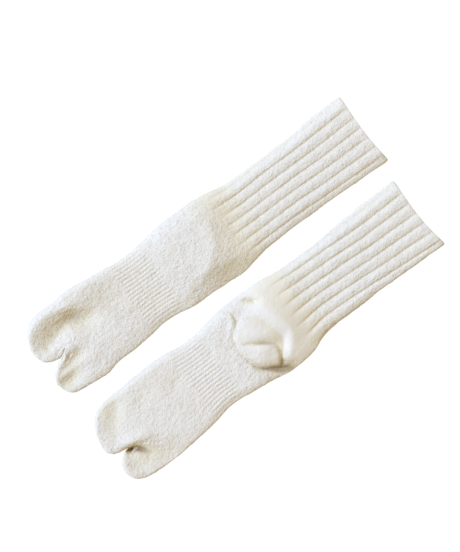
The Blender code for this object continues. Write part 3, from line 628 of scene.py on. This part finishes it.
# the left sock lies sole up, with its heel pouch folded flat on the ankle
leftSock = {
    "piece": "left_sock_knit",
    "node": "left_sock",
    "seed": 47,
    "place": (-200.13, -54.86),
    "turn": 1.2,
    "length": 391.6,
    "flares": (4, 2),
    "sections": (
        (18, -43.7, 39.5, 11, 1.2, 1), (28, -45, 42.2, 11, 1.2, 1.2), (50, -46, 42.8, 10.6, 1.2, 1.4),
        (66, -45.4, 43.8, 10.4, 1.2, 1.4), (84, -44.2, 44, 10.2, 1.2, 1.2),
        (104, -42.2, 43.2, 9.4, 1.2, 1), (124, -38.6, 39.8, 8.6, 1, 0.8), (140, -38.8, 39.6, 8.8, 1, 1),
        (156, -41.4, 41.5, 9.8, 1.2, 1.4), (176, -43.6, 44.2, 10.4, 1.2, 1.6),
        (196, -47.4, 44.6, 10.4, 1.2, 1.6), (214, -47.6, 44, 10.2, 1.2, 1.8),
        (228, -45.8, 43, 9.4, 1.2, 1.4), (240, -41, 40.8, 8.7, 1.2, 0.8),
        (254, -38.2, 39.2, 8.1, 1.2, 0.4), (290, -38.2, 38.4, 8, 1.2, 0.4),
        (330, -38.6, 40, 8, 1.2, 0.4), (360, -39.8, 40.8, 8.2, 1.4, 0.4), (392, -41, 40.2, 9.2, 3, 0.4),
    ),
    "crotch": 21,
    "split": 0.405,
    "fourToes": (
        (-0.3, 4, 6.8), (0, 1.2, 9.6), (2, -2, 18.4), (5, -4.8, 26), (10, -6.8, 33.6), (16, -8.2, 38.4),
        (21, -8.9, 40.6),
    ),
    "bigToe": (
        (2.7, -26, -27.4), (3, -24.6, -28.8), (4.6, -19.8, -33.2), (8, -14.4, -38.6), (12, -11, -41.6),
        (17, -9.4, -43.4), (21, -9.1, -44.2),
    ),
    "mounds": (
        {"x": 184, "y": -16, "halfLength": 17, "halfWidth": 11, "turn": -52, "rise": 0.6,
         "steepShare": 0.9, "hollow": False},
        {"x": 194, "y": 0, "halfLength": 26, "halfWidth": 15, "turn": -35, "rise": 1.6,
         "steepShare": 1, "hollow": False},
    ),
    "puffs": (
        {"outline": [(186, 24, 8, 0.8), (177, 20, 5, 1), (171, 13, 4.5, 1), (169, 4, 4.5, 1),
                     (169, -3, 7, 1), (169.5, -10, 16, 1), (171, -17, 20, 1), (174, -25, 20, 1),
                     (179, -32, 16, 1), (186, -37, 13, 1), (195, -41, 10, 1), (207, -43, 14, 0),
                     (222, -36, 20, 0), (238, -26, 28, 0), (248, 0, 34, 0), (240, 22, 28, 0),
                     (224, 34, 18, 0), (207, 36, 16, 0), (194, 29, 12, 0.2)],
         "rise": 2.2, "hollow": False},
    ),
    "smoothPatch": [(186, 23, 4, 1), (177, 20, 4, 1), (171, 13, 4, 1), (169, 2, 4, 1),
                    (169.5, -10, 4, 1), (174, -24, 4, 1), (186, -35, 4, 1), (197, -38, 8, 1),
                    (212, -30, 8, 1), (220, -10, 10, 1), (214, 10, 10, 1), (206, 12, 8, 1),
                    (197, 18, 4, 1)],
    "underRings": (),
    "underFolds": (
        ((196, 26, 0.1, 5), (200, 12, 1.2, 6), (204, -2, 1.5, 7), (206, -16, 1, 6),
         (208, -26, 0.1, 5)),
        ((216, 24, 0.1, 5), (222, 8, 0.9, 7), (223, -8, 0.7, 7), (220, -22, 0.1, 5)),
        ((34, 22, 0.1, 4), (42, 12, 0.9, 5), (47, -2, 0.8, 6), (45, -16, 0.1, 5)),
    ),
    "sides": (
        (0, 0, 8, 0, 8), (30, 1, 8, 1, 8), (70, 1, 8, 2, 8), (100, 1.4, 10, 2.4, 8),
        (126, 2.4, 10, 2.4, 10), (160, 2, 8, 3, 12), (200, 2.4, 8, 3.4, 14), (230, 2, 12, 3.4, 12),
        (260, 0.9, 6, 4.2, 11), (306, 1.6, 8, 4.2, 11), (356, 1, 6, 4.2, 11), (392, 1.6, 8, 4.2, 11),
    ),
    # how many millimetres of a trough's depth make one step of painted shade
    "foldsHollow": 5,
    "creasesHollow": 2,
    # painted highlights along the ring's crest and painted shade beside it
    "paintedLightAndShade": (
        ((203, 30, -0.1, 4), (207, 22, -0.4, 5), (209.5, 13, -0.5, 4.5), (213, 3, -0.6, 5),
         (215.5, -6, -0.9, 5.5), (215.5, -16, -0.9, 5.5), (210, -26, -0.8, 5), (203, -33, -0.3, 4)),
        ((195, 22, 0.1, 5), (200, 14, 0.3, 5), (204, 5, 0.45, 4.5), (206, -5, 0.4, 4),
         (206, -12, 0.2, 4)),
    ),
    "folds": (
        ((206, 27, -1, 14, 9), (212, 18, -3, 20, 11), (217, 9, -4.2, 24, 12),
         (220.5, 1, -4.6, 24, 12), (222.5, -6, -4.2, 24, 11), (222.5, -13, -3.4, 23, 8.5),
         (220, -20, -2.6, 21, 7), (215.5, -26.5, -1.9, 18, 6.5), (209.5, -33, -1.5, 14, 5.5),
         (203, -39, -0.8, 9, 4)),
        ((181, 20, -0.3, 5, 11), (187, 19.5, -0.9, 5, 13), (193, 16, -1.1, 5, 13),
         (199, 10, -0.8, 5, 11), (203, 4, -0.3, 5, 10)),
        ((207, -2, 0.1, 6, 5), (209.5, -8, 0.7, 5.5, 6), (209.5, -14, 1.7, 5, 7),
         (207.5, -20, 2.3, 4.5, 7), (203.5, -25, 1.8, 4.5, 5.5), (199, -30, 1.1, 4.5, 4),
         (195, -35, 1, 4, 4)),
        ((178, -2, -0.5, 2, 6), (184, -6.5, -1.5, 2, 8), (189, -10.5, -2.4, 2, 9),
         (193.5, -14.5, -2.6, 2.2, 9), (196.5, -20, -1.8, 2.8, 8), (197, -26, -1.2, 3, 7),
         (194.5, -32, -0.4, 3, 6)),
        ((172, -22, 0.6, 6, 6), (178, -29, 1.4, 6, 6), (186, -35, 1.2, 5, 5)),
        ((172, 19, -0.5, 4), (179, 27, -1.6, 3.5), (184, 36, -0.6, 4)),
        ((14, 6, 0.6, 10, 9), (20, 14, 2.4, 11, 9), (28, 24, 3.4, 12, 9), (34, 33, 3, 12, 9),
         (37, 40, 1.4, 10, 10)),
        ((14, -3, -1, 6, 3), (24, -5.5, -2.2, 7, 3), (36, -9, -2.2, 8, 3), (48, -14, -0.8, 8, 4)),
        ((6, -15, 1, 3, 8), (14, -13, 2.6, 3, 8), (22, -13, 3.6, 3, 9), (30, -17, 3, 3.5, 9),
         (40, -25, 1.2, 4, 10), (52, -34, 0.3, 6, 10)),
        ((8, -22, 0.6, 10, 7), (16, -28, 2.2, 12, 7), (26, -33, 2.2, 12, 8), (36, -36, 0.8, 10, 8)),
        ((34, -36, 0.6, 10, 8), (44, -40, 2.2, 13, 7), (56, -41, 1.8, 13, 6), (70, -40, 0.4, 12, 6)),
        ((52, 20, 0.3, 9, 9), (60, 22, 1.2, 9, 9), (70, 27, 0.6, 9, 9)),
        ((90, 8, 0.3, 9, 8), (97, 12, 1.2, 9, 8), (104, 18, 0.4, 9, 8)),
    ),
    "creases": (
        ((173, 13, 0.5, 1.4), (178.5, 19.5, 1, 1.4), (183, 25, 1.5, 1.5), (184, 32, 1.2, 1.8),
         (184, 40, 0.5, 2.5)),
        ((175, 1.5, 1, 2, 1.4), (181, -2.5, 2.6, 2.4, 1.6), (186.5, -6, 3.8, 3, 1.8),
         (191.5, -9.5, 4.2, 3.6, 1.8), (196, -13, 3.8, 4.4, 1.9), (200, -17.5, 3, 5, 1.9),
         (201, -22, 1.8, 4, 2), (199, -27, 0.8, 3, 2)),
        ((172, 17, 0.6, 1.4), (168.4, 10, 1, 1.4), (167.4, 2, 1.1, 1.4), (167.4, -8, 1.4, 1.2),
         (169.4, -17, 2.2, 1.3), (172.5, -25, 3.6, 2, 2.6), (178, -31, 4.6, 3, 3.4),
         (184.5, -35.5, 5.8, 4.4, 5), (190.5, -40.5, 6.4, 5.4, 6), (196.5, -45, 5.4, 7, 5),
         (202, -48, 3.2, 6, 4)),
        ((190, 24, 0.2, 3, 3), (198, 17, 0.5, 3, 4), (203, 9, 0.7, 3.5, 5), (206.5, 1, 0.7, 3.5, 5),
         (209, -8, 0.4, 3, 4), (210.5, -14, 0.3, 3, 3.5), (208, -20, 0.5, 2.6, 3),
         (203, -25.5, 0.8, 2.2, 2.4), (198.5, -30, 1.6, 2.2, 2.4), (195, -34.5, 2.4, 2.6, 2.6),
         (193, -38, 1.6, 2.6, 2.6)),
        ((196, -34, 1, 2), (201, -39, 1.4, 2), (206, -44, 0.8, 2.2)),
        ((199, 39, 0.8, 2.4), (203, 36, 2.8, 2.8), (208, 32, 3.2, 2.8), (213, 28.5, 1.4, 2.4)),
        ((17, -9.5, 4, 1.8, 2.4), (22, -11.5, 8.4, 2, 3), (27, -14, 7.4, 2.2, 3),
         (31, -19, 4.6, 2.8, 4), (35, -25, 2.6, 4, 6), (42, -32, 0.6, 5, 8)),
    ),
    "archBand": (106, 145),
    "stitches": ((36, -14), (39, -16), (42, -18.5), (45, -21), (48, -23.5), (202, 36.5), (204.5, 37),
                 (205, 34), (208, 32.5), (209, 30)),
    "pileShare": ((0, 0.85), (100, 0.85), (170, 1), (192, 1), (208, 0.4), (236, 0.3),
                  (256, 0.95), (392, 0.95)),
    # painted warm shade along x, on the slope from the heel pouch to the leg
    "paintedSlopeShade": ((0, 0), (208, 0), (217, 0.25), (226, 0.5), (240, 0.5), (262, 0.1),
               (276, 0), (392, 0)),
    "legRibStart": 224,
    "ribDepth": 1.62,
    "grooves": 6,
    "ribsMeasuredAt": 300,
    "legRibs": (
        (236, -26.6, 11.9), (256, -24.4, 11), (296, -26.4, 11), (336, -30, 11.2), (386, -34.3, 12.1),
    ),
    "stretches": (
        (21, 60, 1.3), (60, 104, 1.6), (104, 150, 1.9), (150, 168, 1.25), (168, 222, 1),
        (222, 240, 1.4), (240, 385, 2.2),
    ),
}

# the rolled edge of the cuff: how far each row stands before the end, how much of the wall it has
# gone in, and how much of the ribs it keeps
cuffRim = ((3.4, 0, 1), (1.4, 0, 1), (0.4, 0, 0.95), (0.08, 0.03, 0.9), (0, 0.14, 0.7),
           (0, 0.55, 0.2), (0.3, 0.82, 0), (1.4, 0.95, 0))


def stationsOf(stretches):
    return runsOf(*((start, end, math.ceil((end - start) / spacing))
                    for start, end, spacing in stretches))


def joined(parts):
    return tuple(np.concatenate(arrays) for arrays in zip(*parts))


def toeWall(sock):
    # how thick the cloth is at the toes
    height, slack = sock["sections"][0][3:5]
    return (height - slack) / 2.0


def bodySheet(sock):
    # one sheet from the outside of the toes to the cuff, over its rim and back down the inside
    rim = np.array(cuffRim)
    deepest = sock["crotch"] + 2.0 * toeWall(sock)
    inner = np.linspace(sock["length"] - 3.0, deepest, steps["innerRows"])
    return joined((tube(sock, stationsOf(sock["stretches"])),
                   tube(sock, sock["length"] - rim[:, 0], rim[:, 1], rim[:, 2]),
                   tube(sock, inner, np.ones(len(inner)), inside=True)))


def pocketSheets(sock, root, inside):
    # both toe pockets: each starts on the tube's own points and the web between the toes
    upper, lower = splitPlaces(sock)
    top = steps["fold"] + upper
    bottom = 2 * steps["fold"] + steps["upper"] + steps["underFold"] + lower
    rootPoints = root[0]
    share = evenSteps(0, 1, steps["web"])[:, None]
    sheets = []
    for table, runs, order in ((sock["fourToes"], highPocketRuns(sock), list(range(top, bottom))),
                               (sock["bigToe"], lowPocketRuns(sock),
                                list(range(bottom, len(rootPoints) - 1)) + list(range(top)))):
        first = order[0]
        last = bottom if first == top else top
        web = blend(rootPoints[last], rootPoints[first], share)
        rootRow = np.concatenate((rootPoints[order], web, rootPoints[[first]]))
        wall = toeWall(sock) if inside else 0.0
        count = steps["innerPocketRows"] if inside else steps["pocketRows"]
        tip = table[0][0] + wall
        shares = np.linspace(1.0, 0.0, count + 1)[0 if inside else 1:]
        stations = blend(tip, sock["crotch"], shares ** steps["tipCrowding"])
        points, *others = pocket(sock, table, runs, stations, inside)
        centre = points[-1].mean(0)
        tipRow = np.broadcast_to(centre, rootRow.shape)
        points = np.concatenate((rootRow[None], points, tipRow[None]))
        others = [np.concatenate((rows[:1], rows, rows[-1:])) for rows in others]
        sheets.append((points, *others))
    return sheets


def addSheet(mesh, points, flat, hollow, pileShare):
    # a grid of faces, rolled into place by moving its points
    rows, columns = points.shape[:2]
    grid = bmesh.ops.create_grid(mesh, x_segments=columns - 1, y_segments=rows - 1, size=1.0)
    flatLayer = mesh.loops.layers.uv["cloth"]
    hollowLayer = mesh.verts.layers.float["hollow"]
    pileLayer = mesh.verts.layers.float["pile"]
    for vert in grid["verts"]:
        column = round((vert.co.x + 1.0) / 2.0 * (columns - 1))
        row = round((vert.co.y + 1.0) / 2.0 * (rows - 1))
        vert.co = points[row, column] * mm
        vert[hollowLayer] = hollow[row, column]
        vert[pileLayer] = pileShare[row, column]
        place = flat[row, column] * mm
        for loop in vert.link_loops:
            loop[flatLayer].uv = place


def finishPile(sock, mesh):
    bmesh.ops.remove_doubles(mesh, verts=mesh.verts[:], dist=0.00001)
    bmesh.ops.recalc_face_normals(mesh, faces=mesh.faces[:])
    place = Vector((sock["place"][0], sock["place"][1], 0.0)) * mm
    turned = Matrix.Translation(place) @ Matrix.Rotation(math.radians(sock["turn"]), 4, "Z")
    bmesh.ops.transform(mesh, matrix=turned, verts=mesh.verts[:])


def addObject(name, data):
    item = bpy.data.objects.new(name, data)
    bpy.context.scene.collection.objects.link(item)
    return item


def addMesh(name, mesh, material):
    data = bpy.data.meshes.new(name)
    mesh.to_mesh(data)
    mesh.free()
    data.materials.append(material)
    return addObject(name, data)


def makeSock(sock, material):
    mesh = bmesh.new()
    mesh.loops.layers.uv.new("cloth")
    mesh.verts.layers.float.new("hollow")
    mesh.verts.layers.float.new("pile")
    body = bodySheet(sock)
    addSheet(mesh, *body)
    outerRoot = tuple(array[0] for array in body)
    innerRoot = tuple(array[-1] for array in body)
    for sheet in pocketSheets(sock, outerRoot, False) + pocketSheets(sock, innerRoot, True):
        addSheet(mesh, *sheet)
    finishPile(sock, mesh)
    piece = addMesh(sock["piece"], mesh, material)
    data = piece.data
    data.shade_smooth()
    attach(piece, "root")
    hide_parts(sock["node"])
    loose = sum(edge.is_loose for edge in data.edges)
    print(sock["piece"], len(data.vertices), "points", len(data.polygons), "faces", loose, "loose edges")


# the yarn: cream pile, with painted highlights on its crests and painted warm shade down in the folds
pile = {
    "crest": (0.90, 0.895, 0.88, 1.0),
    # painted warm shade, for folds, grooves and the inside
    "hollow": (0.86, 0.82, 0.70, 1.0),
    # painted dark shade, for the deepest creases
    "paintedDeepShade": (0.48, 0.39, 0.26, 1.0),
    "loopSize": 0.0021,
    "swirlSize": 0.0046,
    "loopDepth": 0.00058,
    "roughness": 0.92,
    "sheen": 0.35,
    "sheenRoughness": 0.5,
    "shine": 0.2,
    "wander": 0.0035,  # how far the loops are pushed about
    "ridgeDepth": 3.0,  # how much the swirls and the loops weigh in the pile's height
    "loopWeight": 0.6,
    "cloudScale": 38.0,  # uneven dye, and how much it weighs
    "cloudWeight": 0.5,
    "paintedShadeFrom": 0.2,  # how hollow a place is before painted warm shade starts, and then painted deep shade
    "paintedDeepFrom": 1.1,
    "paintedDeepRise": 0.8,
    "smoothTint": 0.03,  # how much lighter the cloth is without pile
}


def feed(item, inputs):
    # sets a node's inputs, and links those that another node feeds
    for name, value in inputs.items():
        if isinstance(value, bpy.types.NodeSocket):
            item.id_data.links.new(value, item.inputs[name])
        else:
            item.inputs[name].default_value = value


def node(tree, kind, inputs=None, **values):
    item = tree.nodes.new(kind)
    for name, value in values.items():
        setattr(item, name, value)
    feed(item, inputs or {})
    return item


def newMaterial(name):
    material = bpy.data.materials.new(name)
    material.use_nodes = True
    tree = material.node_tree
    return material, tree, tree.nodes["Principled BSDF"]


def makePileGroup():
    group = bpy.data.node_groups.new("loopedPile", "ShaderNodeTree")
    # Hollow is how much painted shade a place gets
    for name, kind in (("Place", "NodeSocketVector"), ("Hollow", "NodeSocketFloat"),
                       ("Crest Colour", "NodeSocketColor"), ("Painted Shade Colour", "NodeSocketColor"),
                       ("Painted Deep Shade Colour", "NodeSocketColor"), ("Loop Size", "NodeSocketFloat"),
                       ("Swirl Size", "NodeSocketFloat"), ("Loop Depth", "NodeSocketFloat"),
                       ("Pile Share", "NodeSocketFloat")):
        group.interface.new_socket(name=name, in_out="INPUT", socket_type=kind)
    for name, kind in (("Colour", "NodeSocketColor"), ("Normal", "NodeSocketVector")):
        group.interface.new_socket(name=name, in_out="OUTPUT", socket_type=kind)
    given = node(group, "NodeGroupInput").outputs

    def maths(operation, *values, clamp=False):
        inputs = dict(enumerate(values))
        return node(group, "ShaderNodeMath", inputs, operation=operation, use_clamp=clamp).outputs[0]

    def mix(share, first, second):
        inputs = {"Factor": share, "A": first, "B": second}
        return node(group, "ShaderNodeMix", inputs, data_type="RGBA").outputs["Result"]

    def texture(kind, place, size, inputs, **values):
        scale = maths("DIVIDE", 1.0, given[size])
        return node(group, kind, {"Vector": place, "Scale": scale, **inputs}, **values).outputs

    # the pile wanders: its places are pushed about before the loops are laid out
    wander = texture("ShaderNodeTexNoise", given["Place"], "Swirl Size", {"Detail": 1.0})
    push = {0: wander["Color"], 1: (pile["wander"],) * 3, 2: given["Place"]}
    pushed = node(group, "ShaderNodeVectorMath", push, operation="MULTIPLY_ADD").outputs[0]
    loops = texture("ShaderNodeTexVoronoi", pushed, "Loop Size", {"Smoothness": 0.6},
                    feature="SMOOTH_F1")
    swirls = texture("ShaderNodeTexNoise", pushed, "Swirl Size", {"Detail": 3.0, "Roughness": 0.6})
    ridge = maths("ABSOLUTE", maths("SUBTRACT", swirls["Fac"], 0.5))
    height = maths("MULTIPLY_ADD", ridge, -pile["ridgeDepth"], 1.0)
    height = maths("SUBTRACT", height, maths("MULTIPLY", loops["Distance"], pile["loopWeight"]))
    depth = maths("MULTIPLY", given["Loop Depth"], given["Pile Share"])
    bump = node(group, "ShaderNodeBump", {"Strength": 1.0, "Distance": depth, "Height": height})

    # painted warm shade in the hollows and painted deep shade in the deepest creases, with uneven dye,
    # and painted shade between the loops
    clouds = node(group, "ShaderNodeTexNoise", {"Vector": given["Place"], "Detail": 2.0,
                                                "Scale": pile["cloudScale"]})
    dyeAndPaintedShade = maths("MULTIPLY_ADD", clouds.outputs["Fac"], pile["cloudWeight"], given["Hollow"])
    dyeAndPaintedShade = maths("SUBTRACT", dyeAndPaintedShade, pile["paintedShadeFrom"], clamp=True)
    paintedDeepShade = maths("SUBTRACT", given["Hollow"], pile["paintedDeepFrom"])
    paintedDeepShade = maths("MULTIPLY", paintedDeepShade, pile["paintedDeepRise"], clamp=True)
    colour = mix(paintedDeepShade, mix(dyeAndPaintedShade, given["Crest Colour"], given["Painted Shade Colour"]), given["Painted Deep Shade Colour"])
    # painted shade between the loops: lower places of the pile's height get a darker colour
    paintedLoopShade = node(group, "ShaderNodeMapRange", {"Value": height, "From Min": -0.3, "From Max": 0.9,
                                               "To Min": -0.14, "To Max": 0.03})
    bare = maths("SUBTRACT", 1.0, given["Pile Share"])
    tint = maths("MULTIPLY", paintedLoopShade.outputs["Result"], given["Pile Share"])
    tint = maths("ADD", tint, maths("MULTIPLY", bare, pile["smoothTint"]))
    tone = node(group, "ShaderNodeVectorMath", {0: colour, "Scale": maths("ADD", tint, 1.0)},
                operation="SCALE")
    node(group, "NodeGroupOutput", {"Colour": tone.outputs[0], "Normal": bump.outputs["Normal"]})
    return group


def makePileMaterial(name, group):
    material, tree, shader = newMaterial(name)
    place = node(tree, "ShaderNodeTexCoord").outputs["Object"]
    hollow, share = (node(tree, "ShaderNodeAttribute", attribute_name=layer).outputs["Fac"]
                     for layer in ("hollow", "pile"))
    knitted = node(tree, "ShaderNodeGroup", node_tree=group)
    feed(knitted, {"Place": place, "Hollow": hollow, "Pile Share": share,
                   "Crest Colour": pile["crest"], "Painted Shade Colour": pile["hollow"],
                   "Painted Deep Shade Colour": pile["paintedDeepShade"], "Loop Size": pile["loopSize"],
                   "Swirl Size": pile["swirlSize"], "Loop Depth": pile["loopDepth"]})
    feed(shader, {"Base Color": knitted.outputs["Colour"], "Normal": knitted.outputs["Normal"],
                  "Roughness": pile["roughness"], "Sheen Weight": pile["sheen"],
                  "Sheen Roughness": pile["sheenRoughness"], "Specular IOR Level": pile["shine"]})
    return material


pileGroup = makePileGroup()
creamPile = makePileMaterial("creamPile", pileGroup)
print("yarn ready")

for sock in (rightSock, leftSock):
    makeSock(sock, creamPile)
print("socks knitted")

# the studio: a white table, a broad cool light from the side and a warm fill
studio = {
    "tableSize": 6.0,
    "tableColour": (0.88, 0.87, 0.85, 1.0),
    "tableRoughness": 0.9,
    "tableGlow": 1.02,  # the table as the camera sees it
    "keyTowards": (-0.545, 0.839),
    "keyElevation": 45.0,
    "keySpread": 34.0,  # how wide the light looks from the table, in degrees
    "keyStrength": 3.23,
    "keyColour": (0.566, 0.728, 1.0),
    "fillColour": (1.0, 0.733, 0.30),
    "fillStrength": 0.463,
}


def makeTable():
    mesh = bmesh.new()
    bmesh.ops.create_grid(mesh, x_segments=2, y_segments=2, size=studio["tableSize"] / 2.0)
    material, tree, shader = newMaterial("whiteTable")
    feed(shader, {"Base Color": studio["tableColour"], "Roughness": studio["tableRoughness"]})
    glow = node(tree, "ShaderNodeEmission", {"Strength": studio["tableGlow"]})
    path = node(tree, "ShaderNodeLightPath")
    mix = node(tree, "ShaderNodeMixShader", {"Fac": path.outputs["Is Camera Ray"],
                                             1: shader.outputs["BSDF"], 2: glow.outputs["Emission"]})
    feed(tree.nodes["Material Output"], {"Surface": mix.outputs["Shader"]})
    table = addMesh("table", mesh, material)


def makeKeyLight():
    elevation = math.radians(studio["keyElevation"])
    flatX, flatY = studio["keyTowards"]
    towards = Vector((flatX * math.cos(elevation), flatY * math.cos(elevation), math.sin(elevation)))
    data = bpy.data.lights.new("key", "SUN")
    data.angle = math.radians(studio["keySpread"])
    data.energy = studio["keyStrength"]
    data.color = studio["keyColour"]
    lamp = addObject("key", data)
    lamp.location = towards
    lamp.rotation_euler = towards.to_track_quat("Z", "Y").to_euler()


def makeFill():
    world = bpy.data.worlds.new("fill")
    world.use_nodes = True
    feed(world.node_tree.nodes["Background"], {"Color": studio["fillColour"] + (1.0,),
                                               "Strength": studio["fillStrength"]})
    bpy.context.scene.world = world


camera = {
    "over": (4.2, 14.4),
    "height": 2600.0,
    "clothHeight": 8.0,
    "tall": 552.0,  # millimetres that the frame's long side covers at the cloth
    "turn": -36.5,
    "sensor": 36.0,
}


def makeCamera():
    data = bpy.data.cameras.new("overhead")
    data.sensor_width = camera["sensor"]
    data.lens = data.sensor_width * camera["height"] / camera["tall"]
    data.clip_end = 20.0
    overhead = addObject("overhead", data)
    overX, overY = camera["over"]
    overhead.location = Vector((overX, overY, camera["height"] + camera["clothHeight"])) * mm
    overhead.rotation_euler = (0.0, 0.0, math.radians(camera["turn"]))
    bpy.context.scene.camera = overhead


makeTable()
makeKeyLight()
makeFill()
makeCamera()
bpy.context.scene.view_settings.view_transform = "Standard"
print("studio ready")
